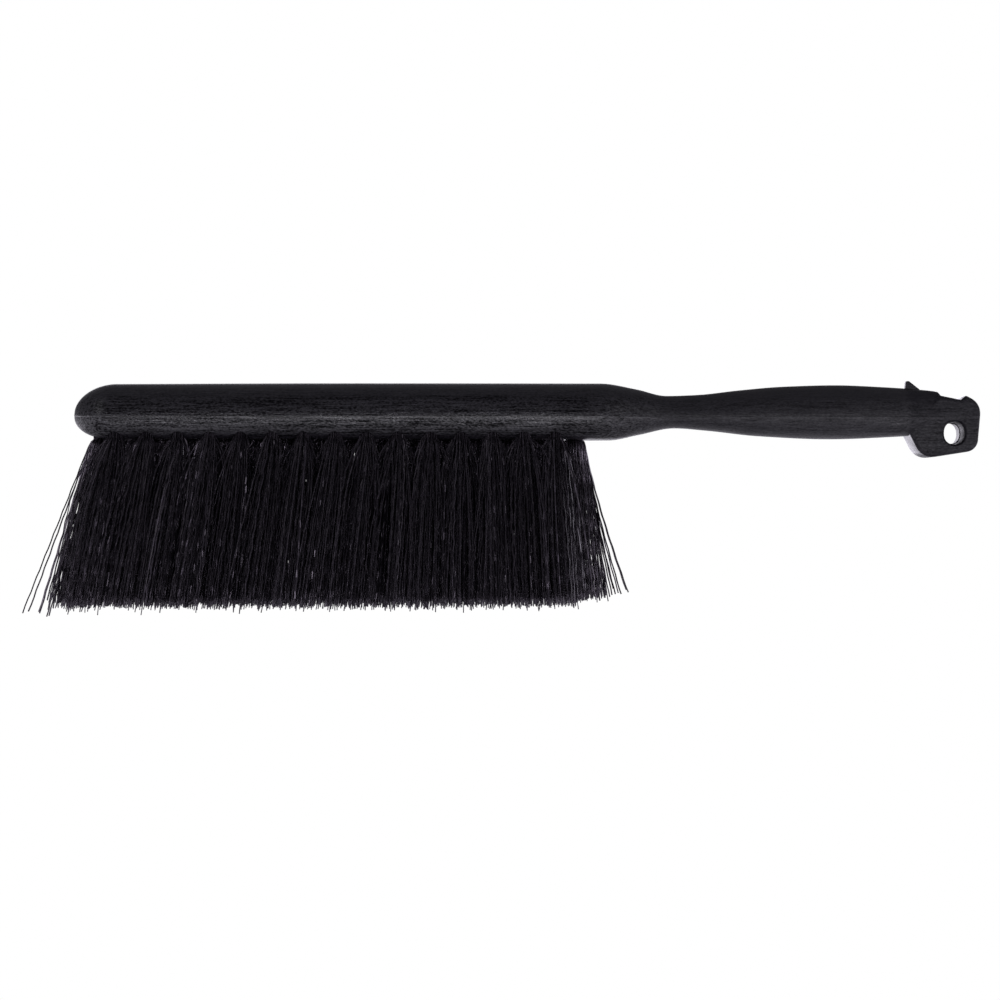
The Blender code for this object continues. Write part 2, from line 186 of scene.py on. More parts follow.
# Looks and studio, in metres and watts. Strengths are those that reflections see.
PATTERN_MEAN = 0.515
PATTERN_RANGE = (0.42, 0.61)
STUDIO_TINT = (1.0, 0.97, 1.08, 1.0)
FLOOR_HALF = 6  # from its middle to its edge
FLOOR_FADE = (0.2, 1.2)  # distances at which it is FLOOR_NEAR and FLOOR_FAR
FLOOR_NEAR = 0.45
FLOOR_FAR = 1.7
BACKDROP_FADE_Y = (0.35, 0.75)  # directions between which the bright backdrop comes in
BACKDROP_FADE_X = (-0.45, -0.22)
BACKDROP_FADE_Z = (0.18, 0.40)  # and between which it ends above
WORLD_FRONT = 0.17
WORLD_BACK = 2.2
AREA_LIGHTS = (  # (name, place, size, power)
    ("left_softbox", (-0.75, -0.60, 0.60), (0.3, 0.3), 0.5),
    ("right_softbox", (0.95, -0.60, 0.50), (0.3, 0.3), 0.5),
    ("front_strip", (0.16, -1.1, -0.07), (1.0, 0.12), 1.5),
)

# View, in metres
CAMERA_DISTANCE = 0.75
FRAME_WIDTH = 0.3929
VIEW_CENTRE = (0.06365, 0.04125)
SENSOR = 36.0  # in millimetres
FLOOR_Z = -0.12

random = np.random.default_rng(20)


def profile(points):
    """A smooth function through (x, value) points that never swings past a point."""
    x, y = np.array(points, float).T
    step = np.diff(x)
    slope = np.diff(y) / step
    tangent = np.zeros(len(x))
    for i in range(1, len(x) - 1):
        if slope[i - 1] * slope[i] > 0:
            tangent[i] = 2 / (1 / slope[i - 1] + 1 / slope[i])
    tangent[0], tangent[-1] = slope[0], slope[-1]

    def value(at):
        at = min(max(at, x[0]), x[-1])
        i = min(int(np.searchsorted(x, at, side="right")) - 1, len(step) - 1)
        t = (at - x[i]) / step[i]
        start = (1 + 2 * t) * (1 - t) ** 2 * y[i] + t * (1 - t) ** 2 * step[i] * tangent[i]
        end = t**2 * (3 - 2 * t) * y[i + 1] - t**2 * (1 - t) * step[i] * tangent[i + 1]
        return start + end

    return value


def rounded_outline(corners, arc_segments=10):
    """Points of a closed outline through (a, b, radius) corners, each rounded by an arc."""
    points = []
    count = len(corners)
    for i, (a, b, radius) in enumerate(corners):
        corner = Vector((a, b))
        if radius == 0:
            points.append(corner)
            continue
        before = (Vector(corners[i - 1][:2]) - corner).normalized()
        after = (Vector(corners[(i + 1) % count][:2]) - corner).normalized()
        half_angle = before.angle(after) / 2
        centre = corner + (before + after).normalized() * radius / math.sin(half_angle)
        start = corner + before * radius / math.tan(half_angle) - centre
        end = corner + after * radius / math.tan(half_angle) - centre
        turn = start.angle_signed(end)
        for k in range(arc_segments + 1):
            angle = -turn * k / arc_segments
            points.append(centre + Matrix.Rotation(angle, 2) @ start)
    return points


def ellipse_outline(centre, size, fullness, segments):
    """Points of a superellipse of the given full size."""
    points = []
    for k in range(segments):
        angle = 2 * math.pi * k / segments
        c, s = math.cos(angle), math.sin(angle)
        points.append(
            Vector((
                centre[0] + size[0] / 2 * math.copysign(abs(c) ** (2 / fullness), c),
                centre[1] + size[1] / 2 * math.copysign(abs(s) ** (2 / fullness), s),
            ))
        )
    return points


def object_from_bmesh(name, bm):
    bmesh.ops.recalc_face_normals(bm, faces=bm.faces)
    mesh = bpy.data.meshes.new(name)
    bm.to_mesh(mesh)
    bm.free()
    obj = bpy.data.objects.new(name, mesh)
    bpy.context.scene.collection.objects.link(obj)
    return obj


def apply_modifiers(obj):
    graph = bpy.context.evaluated_depsgraph_get()
    mesh = bpy.data.meshes.new_from_object(obj.evaluated_get(graph))
    obj.modifiers.clear()
    obj.data = mesh


# Block and handle


def handle_axis():
    """Nose X, underside Z and parting Z in millimetres, read from the CAD block and its holes."""
    low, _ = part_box("handle_block")
    anchor_low, anchor_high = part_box("anchor_middle_01")
    anchor_z = (anchor_low.z + anchor_high.z) / 2 / MM
    underside = anchor_z - ANCHOR_DEPTH
    return low.x / MM, underside, underside + UNDERSIDE_TO_PARTING


NOSE_X, UNDERSIDE_Z, PARTING_Z = handle_axis()


def nose_factor(x, start):
    if x >= start:
        return 1.0
    reach = (start - x) / (start - NOSE_X)
    return max(0.0, 1 - reach**NOSE_FULLNESS) ** (1 / NOSE_FULLNESS)


def parting_drop(x):
    return PARTING_DROP * nose_factor(x, WIDTH_PROFILE[0][0])


def side_points(x, profiles):
    """(y, z) down the +Y side at x: upper half, groove and flash at the parting, lower half."""
    top = profiles["top"](x) * nose_factor(x, TOP_PROFILE[0][0]) + parting_drop(x)
    bottom = profiles["bottom"](x) * nose_factor(x, BOTTOM_PROFILE[0][0]) - parting_drop(x)
    width = profiles["width"](x) * nose_factor(x, WIDTH_PROFILE[0][0])
    flat = max(width * profiles["flat_share"](x), LEAST_FLAT)
    upper_power = 2 / profiles["upper_fullness"](x)
    lower_power = 2 / profiles["lower_fullness"](x)
    upper, lower = [], []
    for k in range(1, QUARTER_SEGMENTS):
        t = math.pi / 2 * k / QUARTER_SEGMENTS
        rise = math.sin(t) ** upper_power
        reach = width * math.cos(t) ** upper_power
        upper.append((reach * (1 - UPPER_DRAFT * rise), top * rise))
        fall = math.sin(t) ** lower_power
        reach = (width - flat) * math.cos(t) ** lower_power
        lower.append((flat + reach * (1 - LOWER_DRAFT * fall), -bottom * fall))
    size = min(1.0, top / FLASH_FULL_TOP)
    half = FLASH_HALF_WIDTH * size
    groove = width - GROOVE_DEPTH * size
    flash = width + FLASH_HEIGHT * size
    seam = [
        (groove, 2.6 * half), (groove, 1.2 * half), (flash, 0.4 * half), (flash, -0.4 * half),
        (width, -1.4 * half),
    ]
    return top, upper[::-1] + seam + lower + [(flat, -bottom)]


def block_section(x, profiles):
    top, side = side_points(x, profiles)
    ring = [(0.0, top)] + side + [(-y, z) for y, z in reversed(side)]
    parting = PARTING_Z - parting_drop(x)
    return [Vector((x * MM, y * MM, (parting + z) * MM)) for y, z in ring]


def section_stations():
    nose_length = TOP_PROFILE[0][0] - NOSE_X
    nose = [
        NOSE_X + nose_length * (1 - math.cos(math.pi / 2 * (k + 1) / NOSE_RINGS))
        for k in range(NOSE_RINGS)
    ]
    head = list(np.arange(-83.0, 99.0, 4.0))
    shoulder = list(np.arange(100.0, 140.0, 1.25))
    grip = list(np.arange(141.0, 230.0, 2.5))
    end = [231.0, 232.0, 233.0, 234.0, 234.6, 234.9, 235.2, 235.5, 235.8, 236.1]
    return nose + head + shoulder + grip + end


def loft_block():
    profiles = {
        "top": profile(TOP_PROFILE),
        "bottom": profile(BOTTOM_PROFILE),
        "width": profile(WIDTH_PROFILE),
        "flat_share": profile(FLAT_SHARE_PROFILE),
        "upper_fullness": profile(UPPER_FULLNESS_PROFILE),
        "lower_fullness": profile(LOWER_FULLNESS_PROFILE),
    }
    bm = bmesh.new()
    rings = [
        [bm.verts.new(p) for p in block_section(x, profiles)] for x in section_stations()
    ]
    tip = bm.verts.new(((NOSE_X - NOSE_POINT) * MM, 0, PARTING_Z * MM))
    count = len(rings[0])
    for k in range(count):
        bm.faces.new((tip, rings[0][k], rings[0][(k + 1) % count]))
    for near, far in zip(rings, rings[1:]):
        for k in range(count):
            after = (k + 1) % count
            bm.faces.new((near[k], far[k], far[after], near[after]))
    bm.faces.new(rings[-1])
    return bm


def inset_corners(corners, inset):
    """The same outline moved inwards all round: its straight edges and its corner arcs."""
    count = len(corners)
    points = [Vector(corner[:2]) for corner in corners]
    area = sum(points[i].cross(points[(i + 1) % count]) for i in range(count))
    side = math.copysign(1, area)
    moved = []
    for i, corner in enumerate(corners):
        before = (points[i] - points[i - 1]).normalized()
        after = (points[(i + 1) % count] - points[i]).normalized()
        inward = (before.orthogonal() + after.orthogonal()) * side
        bend = before.cross(after) * side
        place = points[i] + inward * (inset / (1 + before.dot(after)))
        radius = corner[2]
        if radius:
            radius = max(radius - math.copysign(inset, bend), SMALLEST_RADIUS)
        moved.append((place.x, place.y, radius))
    return moved


def stack_outlines(levels):
    """A solid in the XZ plane through (y, outline) levels, all in millimetres."""
    bm = bmesh.new()
    rings = [
        [bm.verts.new((p.x * MM, y * MM, p.y * MM)) for p in outline] for y, outline in levels
    ]
    for near, far in zip(rings, rings[1:]):
        for k in range(len(near)):
            after = (k + 1) % len(near)
            bm.faces.new((near[k], near[after], far[after], far[k]))
    bm.faces.new(rings[0])
    bm.faces.new(rings[-1])
    return bm


def plate(corners, thickness, edge_radius, arc_segments=10):
    """A plate centred on Y = 0 with rounded edges."""
    insets = []
    for k in range(PLATE_EDGE_SEGMENTS + 1):
        angle = math.pi / 2 * k / PLATE_EDGE_SEGMENTS
        insets.append((
            -thickness / 2 + edge_radius * (1 - math.cos(angle)),
            edge_radius * (1 - math.sin(angle)),
        ))
    insets += [(-y, inset) for y, inset in reversed(insets)]
    return stack_outlines([
        (y, rounded_outline(inset_corners(corners, inset), arc_segments)) for y, inset in insets
    ])


def hang_hole_cutter():
    """The tab's hole: flared rims, walls drafted from both faces and a thin flash half way."""
    half = TAB_THICKNESS / 2
    scales = (  # (y, size of the hole there as a share of its own)
        (-half - 1, 1.34), (-half, 1.17), (-half + 0.4, 1.07), (-half + 1.2, 1.0),
        (-0.25, 0.95), (-0.1, 0.90), (0.1, 0.90), (0.25, 0.95),
        (half - 1.2, 1.0), (half - 0.4, 1.07), (half, 1.17), (half + 1, 1.34),
    )
    levels = []
    for y, scale in scales:
        size = (HANG_HOLE_SIZE[0] * scale, HANG_HOLE_SIZE[1] * scale)
        levels.append(
            (y, ellipse_outline(HANG_HOLE_CENTRE, size, HANG_HOLE_FULLNESS, HANG_HOLE_SIDES))
        )
    return object_from_bmesh("hang_hole_cutter", stack_outlines(levels))


def tuft_hole_cutter(tufts):
    bm = bmesh.new()
    below = 4.0
    length = HOLE_DEPTH + below
    for tuft in tufts:
        up = -tuft["down"]
        middle = tuft["mouth"] + up * (HOLE_DEPTH - length / 2) * MM
        turn = Vector((0, 0, 1)).rotation_difference(up).to_matrix().to_4x4()
        bmesh.ops.create_cone(
            bm, cap_ends=True, segments=HOLE_SIDES, radius1=HOLE_RADIUS * MM,
            radius2=HOLE_RADIUS * MM, depth=length * MM,
            matrix=Matrix.Translation(middle) @ turn,
        )
    return object_from_bmesh("tuft_hole_cutter", bm)


def build_block(tufts, material):
    block = object_from_bmesh("block_and_handle", loft_block())
    tab = object_from_bmesh("tab_plate", plate(TAB_CORNERS, TAB_THICKNESS, TAB_EDGE_RADIUS))
    tooth = object_from_bmesh(
        "tooth_plate", plate(TOOTH_CORNERS, TOOTH_THICKNESS, TOOTH_EDGE_RADIUS, arc_segments=5)
    )
    cutters = (
        (tab, "UNION"), (tooth, "UNION"), (hang_hole_cutter(), "DIFFERENCE"),
        (tuft_hole_cutter(tufts), "DIFFERENCE"),
    )
    for cutter, operation in cutters:
        modifier = block.modifiers.new(cutter.name, "BOOLEAN")
        modifier.operation = operation
        modifier.solver = "EXACT"
        modifier.object = cutter
    apply_modifiers(block)
    for cutter, _ in cutters:
        bpy.data.objects.remove(cutter, do_unlink=True)
    block.data.materials.clear()
    block.data.materials.append(material)
    block.data.shade_smooth()
    block.data.set_sharp_from_angle(angle=SHARP_ANGLE)
    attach(block, "block")
    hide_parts("handle_block")


# Tufts


def read_tufts():
    """Each tuft's place, from its anchor and joint: the mouth of its hole and where it points."""
    joints = {joint["name"]: joint for joint in frame["joints"]}
    tufts = []
    for row in ROWS:
        pivot = Vector(joints[f"{row}_row_flex"]["pos_m"])
        names = sorted(n for n in frame["nodes"] if n.startswith(f"anchor_{row}_"))
        for name in names:
            low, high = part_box(name)
            centre = (low + high) / 2
            down = Vector((0, pivot.y - centre.y, pivot.z - centre.z)).normalized()
            mouth = centre + down * ((UNDERSIDE_Z * MM - centre.z) / down.z)
            tufts.append({
                "name": name.replace("anchor", "tuft"), "row": row, "mouth": mouth,
                "down": down, "pivot": pivot,
            })
    return tufts


def bundle_offsets(count, radius):
    """Evenly packed places in a round bundle, slightly disturbed."""
    k = np.arange(count)
    reach = radius * np.sqrt((k + 0.5) / count)
    turn = k * math.pi * (3 - math.sqrt(5))
    places = np.stack([reach * np.cos(turn), reach * np.sin(turn)], axis=1)
    return places + random.normal(0, BUNDLE_DISORDER, places.shape)


def free_length_steps():
    """Shares of the free length at the points of a path, with one just below the block."""
    return np.insert(np.linspace(0, 1, PATH_POINTS - 1), 1, FIRST_STEP)


def filament_paths(tuft):
    """Centre lines of a tuft's filaments in millimetres: (filament, point, 3)."""
    mouth = np.array(tuft["mouth"]) / MM
    down = np.array(tuft["down"])
    across = np.array((0.0, -down[2], down[1]))
    along = np.array((1.0, 0.0, 0.0))
    is_end = abs(mouth[0]) > END_TUFT_X
    count = END_FILAMENTS if is_end else FILAMENTS
    offsets = bundle_offsets(count, BUNDLE_RADIUS)
    a, b = offsets[:, 0], offsets[:, 1]

    wander = END_TIP_WANDER if is_end else TIP_WANDER
    tip_a = a * TIP_SPREAD_X / BUNDLE_RADIUS + random.normal(0, wander, count)
    tip_b = b * TIP_SPREAD_Y / BUNDLE_RADIUS + random.normal(0, wander, count)
    tip_b = np.clip(tip_b, -LANE_AT_TIPS, LANE_AT_TIPS)
    lean = math.tan(math.radians(profile(SET_ANGLES)(mouth[0])))
    tip_x = mouth[0] + tip_a + lean * mouth[2]
    tip_z = np.interp(tip_x, *np.transpose(TIP_HEIGHTS)) + random.normal(0, TIP_SCATTER, count)
    tip_z -= np.where(random.random(count) < LONG_SHARE, random.random(count) * LONG_BY, 0)
    length = (mouth[2] - tip_z + across[2] * tip_b) / -down[2]

    u = free_length_steps()[None, :]
    power_a = random.uniform(*SPLAY_POWERS_X, (count, 1))
    power_a[random.random(count) < EARLY_SHARE] = EARLY_POWER
    if is_end:
        inwards = np.clip(-a * np.sign(mouth[0]) / BUNDLE_RADIUS, 0, 1)
        power_a[:, 0] = random.uniform(*END_OUTER_POWERS, count) * END_INNER_POWER**inwards
    leave_a = 1 - (1 - u) ** power_a
    leave_b = 1 - (1 - u) ** random.uniform(*SPLAY_POWERS_Y, (count, 1))
    spread = END_MOUTH_SPREAD if is_end else MOUTH_SPREAD
    sprung = spread * (1 - np.exp(-length[:, None] * u / MOUTH_SPREAD_DEPTH)) * (1 - u)
    side_a = a[:, None] * (1 + sprung) + (tip_a - a)[:, None] * leave_a
    side_a = side_a + lean * length[:, None] * u
    side_b = b[:, None] * (1 + sprung) + (tip_b - b)[:, None] * leave_b
    lane = LANE_AT_MOUTH + (LANE_AT_TIPS - LANE_AT_MOUTH) * u
    side_b = np.clip(side_b, -lane, lane)
    depth = length[:, None] * u

    drift = random.normal(0, CRIMP_DRIFT, 2)
    phase = random.random() * 2 * math.pi + offsets @ drift
    phase = phase + random.normal(0, CRIMP_PHASE_SCATTER, count)
    pitch = CRIMP_PITCH * random.normal(1, CRIMP_PITCH_SCATTER, count)
    plane = random.normal(*CRIMP_PLANE, count)
    grow = np.clip(depth / CRIMP_START, 0, 1)
    wave = CRIMP_AMPLITUDE * grow * np.sin(2 * math.pi * depth / pitch[:, None] + phase[:, None])
    side_a = side_a + wave * np.cos(plane)[:, None]
    side_b = side_b + wave * np.sin(plane)[:, None]

    side_a = np.concatenate([a[:, None] * HELD_SHARES, side_a], axis=1)
    side_b = np.concatenate([b[:, None] * HELD_SHARES, side_b], axis=1)
    held = np.tile(np.negative(HELD_HEIGHTS), (count, 1))
    depth = np.concatenate([held, depth], axis=1)
    return (
        mouth
        + side_a[..., None] * along
        + side_b[..., None] * across
        + depth[..., None] * down
    )


def loose_paths(tuft, tips, power):
    """Stray filaments that stand away from the end of the brush, out to (x, z) tips."""
    mouth = np.array(tuft["mouth"]) / MM
    u = free_length_steps()
    held = np.ones(len(HELD_HEIGHTS))
    paths = []
    for tip_x, tip_z in tips:
        edge = math.copysign(BUNDLE_RADIUS - LOOSE_INSET, tip_x)
        start = mouth + np.array((edge, random.uniform(-LOOSE_START_Y, LOOSE_START_Y), 0))
        drop = mouth[2] - tip_z
        wave = LOOSE_WAVE * np.clip(u * LOOSE_WAVE_GROWTH, 0, 1) * np.sin(
            2 * math.pi * drop * u / CRIMP_PITCH + random.random() * 2 * math.pi
        )
        sprung = END_MOUTH_SPREAD * edge * (1 - np.exp(-drop * u / MOUTH_SPREAD_DEPTH)) * (1 - u)
        x = start[0] + (tip_x - start[0]) * u**power + sprung + wave
        y = start[1] + random.uniform(-LOOSE_SPREAD_Y, LOOSE_SPREAD_Y) * u + wave
        z = mouth[2] - drop * u
        paths.append(np.stack([
            np.concatenate([held * start[0], x]),
            np.concatenate([held * start[1], y]),
            np.concatenate([mouth[2] + HELD_HEIGHTS, z]),
        ], axis=1))
    return np.array(paths)


def tubes_mesh(name, paths, radii):
    """One closed tube of few sides along each path, all in one mesh."""
    filaments, points, _ = paths.shape
    tangent = np.gradient(paths, axis=1)
    tangent /= np.linalg.norm(tangent, axis=2, keepdims=True)
    seed = np.array((1.0, 0.0, 0.0))
    first = np.cross(tangent, seed)
    first = np.cross(first, tangent)
    first /= np.linalg.norm(first, axis=2, keepdims=True)
    second = np.cross(tangent, first)
    turn = random.random((filaments, 1, 1)) * 2 * math.pi
    radii = radii[:, None, None]
    rings = []
    for k in range(FILAMENT_SIDES):
        angle = turn + 2 * math.pi * k / FILAMENT_SIDES
        rings.append(paths + radii * (first * np.cos(angle) + second * np.sin(angle)))
    vertices = np.stack(rings, axis=2).reshape(-1, 3) * MM

    ring = np.arange(FILAMENT_SIDES)
    after = (ring + 1) % FILAMENT_SIDES
    start = (np.arange(filaments) * points * FILAMENT_SIDES)[:, None, None]
    level = (np.arange(points - 1) * FILAMENT_SIDES)[None, :, None]
    low = start + level
    quads = np.stack(
        [low + ring, low + after, low + FILAMENT_SIDES + after, low + FILAMENT_SIDES + ring],
        axis=3,
    ).reshape(-1, 4)
    ends = start[:, 0, :]
    roots = ends + ring[::-1]
    tips = ends + (points - 1) * FILAMENT_SIDES + ring
    faces = [tuple(f) for f in quads] + [tuple(f) for f in roots] + [tuple(f) for f in tips]
    mesh = bpy.data.meshes.new(name)
    mesh.from_pydata(vertices.tolist(), [], faces)
    rounded = random.random(filaments) >= FACETED_SHARE
    smooth = np.concatenate([np.repeat(rounded, (points - 1) * FILAMENT_SIDES), rounded, rounded])
    mesh.polygons.foreach_set("use_smooth", smooth)
    return mesh


def build_tuft(tuft, material, extra=None):
    paths = filament_paths(tuft)
    radii = np.full(len(paths), FILAMENT_RADIUS)
    if extra is not None:
        paths = np.concatenate([paths, extra])
        radii = np.concatenate([radii, np.full(len(extra), STRAY_RADIUS)])
    mesh = tubes_mesh(tuft["name"], paths, radii)
    mesh.materials.append(material)
    obj = bpy.data.objects.new(tuft["name"], mesh)
    bpy.context.scene.collection.objects.link(obj)
    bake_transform(obj)
    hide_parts(f"tuft_roots_{tuft['row']}", f"bristles_{tuft['row']}")


# Materials


def new_material(name):
    material = bpy.data.materials.new(name)
    material.use_nodes = True
    tree = material.node_tree
    return material, tree, tree.nodes["Principled BSDF"]


def feed(tree, values, slots):
    """Give each slot its value: a number as it stands, an output by a link."""
    for value, slot in zip(values, slots):
        if isinstance(value, float):
            slot.default_value = value
        else:
            tree.links.new(value, slot)


def combine(tree, operation, *values):
    node = tree.nodes.new("ShaderNodeMath")
    node.operation = operation
    feed(tree, values, node.inputs)
    return node.outputs["Value"]


def product(tree, result, *factors):
    for factor in factors:
        result = combine(tree, "MULTIPLY", result, factor)
    return result


def total(tree, result, *terms):
    for term in terms:
        result = combine(tree, "ADD", result, term)
    return result


def remap(tree, value, low, high, to_low, to_high):
    """The value carried from one range to another, and held at the ends."""
    node = tree.nodes.new("ShaderNodeMapRange")
    node.inputs["From Min"].default_value = low
    node.inputs["From Max"].default_value = high
    node.inputs["To Min"].default_value = to_low
    node.inputs["To Max"].default_value = to_high
    tree.links.new(value, node.inputs["Value"])
    return node.outputs["Result"]


def position(tree):
    """X, Y and Z of the shaded point, in metres."""
    place = tree.nodes.new("ShaderNodeTexCoord")
    split = tree.nodes.new("ShaderNodeSeparateXYZ")
    tree.links.new(place.outputs["Object"], split.inputs["Vector"])
    return split.outputs["X"], split.outputs["Y"], split.outputs["Z"]


def stretched_noise(tree, scale, detail, roughness=0.55):
    """Noise with one feature size along each axis: scale is cells a metre in X, Y and Z."""
    place = tree.nodes.new("ShaderNodeTexCoord")
    mapping = tree.nodes.new("ShaderNodeMapping")
    mapping.inputs["Scale"].default_value = scale
    noise = tree.nodes.new("ShaderNodeTexNoise")
    noise.inputs["Scale"].default_value = 1.0
    noise.inputs["Detail"].default_value = detail
    noise.inputs["Roughness"].default_value = roughness
    tree.links.new(place.outputs["Object"], mapping.inputs["Vector"])
    tree.links.new(mapping.outputs["Vector"], noise.inputs["Vector"])
    return noise.outputs["Fac"]


def colour_ramp(tree, value, stops):
    node = tree.nodes.new("ShaderNodeValToRGB")
    ramp = node.color_ramp
    for k, (place, colour) in enumerate(stops):
        stop = ramp.elements[k]
        stop.position = place
        stop.color = (*colour, 1.0)
    tree.links.new(value, node.inputs["Fac"])
    return node.outputs["Color"]


def add_bump(tree, shader, height, strength, distance):
    bump = tree.nodes.new("ShaderNodeBump")
    bump.inputs["Strength"].default_value = strength
    bump.inputs["Distance"].default_value = distance
    tree.links.new(height, bump.inputs["Height"])
    tree.links.new(bump.outputs["Normal"], shader.inputs["Normal"])


def flow_pattern(tree, z, on_handle):
    """Grain, streaks and bands along the brush, fainter on the crown and on the handle."""
    grain = stretched_noise(tree, (900, 2300, 2300), 2, 0.6)
    streaks = stretched_noise(tree, (70, 1900, 1900), 2, 0.65)
    bands = stretched_noise(tree, (12, 520, 520), 2)
    pattern = total(
        tree, product(tree, grain, 0.46), product(tree, streaks, 0.38), product(tree, bands, 0.16)
    )
    low, high = CROWN_FADE
    crown = remap(tree, z, (PARTING_Z + low) * MM, (PARTING_Z + high) * MM, 1.0, 0.40)
    depth = product(tree, crown, remap(tree, on_handle, 0.0, 1.0, 1.0, 0.42))
    pattern = combine(tree, "SUBTRACT", pattern, PATTERN_MEAN)
    return total(tree, product(tree, pattern, depth), PATTERN_MEAN)


def seam_mask(tree, x, z, on_handle):
    """1 along the parting line, faint on the handle, 0 elsewhere."""
    nose = remap(tree, x, NOSE_X * MM, WIDTH_PROFILE[0][0] * MM, 0.0, 1.0)
    drop = product(tree, combine(tree, "POWER", nose, 0.36), PARTING_DROP * MM)
    below = combine(tree, "SUBTRACT", PARTING_Z * MM, total(tree, z, drop))
    return product(
        tree,
        remap(tree, below, -0.25 * MM, -0.05 * MM, 0.0, 1.0),
        remap(tree, below, 0.35 * MM, 0.6 * MM, 1.0, 0.0),
        remap(tree, on_handle, 0.0, 1.0, 1.0, 0.2),
    )


def glossy_wall_mask(tree, x, z, on_tab):
    """1 on the walls of the tab, shinier than its faces, less in its hole and 0 elsewhere."""
    geometry = tree.nodes.new("ShaderNodeNewGeometry")
    facing = tree.nodes.new("ShaderNodeSeparateXYZ")
    tree.links.new(geometry.outputs["True Normal"], facing.inputs["Vector"])
    side_on = tree.nodes.new("ShaderNodeCombineXYZ")
    feed(tree, (x, 0.0, z), side_on.inputs)
    from_hole = tree.nodes.new("ShaderNodeVectorMath")
    from_hole.operation = "DISTANCE"
    tree.links.new(side_on.outputs["Vector"], from_hole.inputs[0])
    from_hole.inputs[1].default_value = (HANG_HOLE_CENTRE[0] * MM, 0, HANG_HOLE_CENTRE[1] * MM)
    return product(
        tree,
        on_tab,
        remap(tree, facing.outputs["Y"], -0.2, -0.1, 0.0, 1.0),
        remap(tree, facing.outputs["Y"], 0.35, 0.6, 1.0, 0.0),
        remap(tree, facing.outputs["Z"], -0.9, -0.7, 0.0, 1.0),
        remap(tree, from_hole.outputs["Value"], 4.6 * MM, 5.2 * MM, 0.45, 1.0),
    )


def block_plastic():
    """Black foam moulding: fine flow streaks along the brush, pits and a soft sheen."""
    material, tree, shader = new_material("black_foam_plastic")
    x, _, z = position(tree)
    on_handle = remap(tree, x, HANDLE_FADE_X[0] * MM, HANDLE_FADE_X[1] * MM, 0.0, 1.0)
    on_tab = remap(tree, x, TAB_FADE_X[0] * MM, TAB_FADE_X[1] * MM, 0.0, 1.0)
    pattern = flow_pattern(tree, z, on_handle)
    seam = seam_mask(tree, x, z, on_handle)
    glossy = glossy_wall_mask(tree, x, z, on_tab)
    colour = colour_ramp(tree, pattern, (
        (PATTERN_RANGE[0], (0.0012, 0.0010, 0.0016)), (PATTERN_RANGE[1], (0.016, 0.0148, 0.020)),
    ))
    shine = total(tree, remap(tree, pattern, *PATTERN_RANGE, 0.05, 0.95), product(tree, seam, 0.5))
    shine = product(tree, shine, remap(tree, on_tab, 0.0, 1.0, 1.0, 0.6))
    shine = total(tree, shine, product(tree, glossy, 0.5))
    rough = total(
        tree,
        remap(tree, pattern, *PATTERN_RANGE, 0.42, 0.27),
        remap(tree, on_handle, 0.0, 1.0, 0.0, 0.15),
    )
    rough = product(tree, rough, remap(tree, glossy, 0.0, 1.0, 1.0, 0.25))
    tree.links.new(colour, shader.inputs["Base Color"])
    tree.links.new(shine, shader.inputs["Specular IOR Level"])
    tree.links.new(rough, shader.inputs["Roughness"])
    add_bump(tree, shader, pattern, 0.6, 0.4 * MM)
    return material


def filament_plastic():
    """Extruded black filament: glossy, with faint draw lines, each one a little different.

    Shine grows towards the tips, and again at the top of the middle row, seen between the others.
    """
    material, tree, shader = new_material("black_filament")
    geometry = tree.nodes.new("ShaderNodeNewGeometry")
    each = geometry.outputs["Random Per Island"]
    colour = colour_ramp(tree, each, (
        (0.0, (0.003, 0.0027, 0.0035)), (1.0, (0.009, 0.008, 0.0105)),
    ))
    _, y, z = position(tree)
    worn_tips = remap(tree, z, 0.0, 50 * MM, 1.45, 1.0)
    near_middle = remap(tree, combine(tree, "ABSOLUTE", y), 4.5 * MM, 6.5 * MM, 2.5, 0.0)
    middle_tops = product(tree, near_middle, remap(tree, z, 45 * MM, 57 * MM, 0.0, 1.0))
    shine = product(
        tree, remap(tree, each, 0.0, 1.0, 0.28, 0.85), worn_tips, total(tree, middle_tops, 1.0)
    )
    lines = stretched_noise(tree, (5000, 5000, 420), 2)
    rough = total(tree, remap(tree, lines, 0.3, 0.7, 0.15, 0.28), product(tree, each, 0.08))
    tree.links.new(colour, shader.inputs["Base Color"])
    tree.links.new(shine, shader.inputs["Specular IOR Level"])
    tree.links.new(rough, shader.inputs["Roughness"])
    shader.inputs["Specular Tint"].default_value = (1.05, 0.93, 1.12, 1.0)
    add_bump(tree, shader, lines, 0.15, 0.02 * MM)
    return material


def galvanised_wire():
    """Flat zinc-coated wire with rolling lines."""
    material, tree, shader = new_material("galvanised_flat_wire")
    lines = stretched_noise(tree, (900, 900, 6000), 3)
    colour = colour_ramp(tree, lines, ((0.3, (0.40, 0.41, 0.42)), (0.7, (0.62, 0.63, 0.64))))
    tree.links.new(colour, shader.inputs["Base Color"])
    tree.links.new(remap(tree, lines, 0.3, 0.7, 0.28, 0.45), shader.inputs["Roughness"])
    shader.inputs["Metallic"].default_value = 1.0
    return material


# Studio


def glow(tree, kind, strength):
    """Plain white to the camera, and tinted light of this strength in reflections and bounces.

    The kind of node is an emission on a surface and a background in the world.
    """
    tinted = tree.nodes.new(kind)
    tinted.inputs["Color"].default_value = STUDIO_TINT
    tree.links.new(strength, tinted.inputs["Strength"])
    white = tree.nodes.new(kind)
    white.inputs["Color"].default_value = (1, 1, 1, 1)
    white.inputs["Strength"].default_value = 1.0
    path = tree.nodes.new("ShaderNodeLightPath")
    mix = tree.nodes.new("ShaderNodeMixShader")
    tree.links.new(path.outputs["Is Camera Ray"], mix.inputs["Fac"])
    tree.links.new(tinted.outputs[0], mix.inputs[1])
    tree.links.new(white.outputs[0], mix.inputs[2])
    return mix.outputs["Shader"]


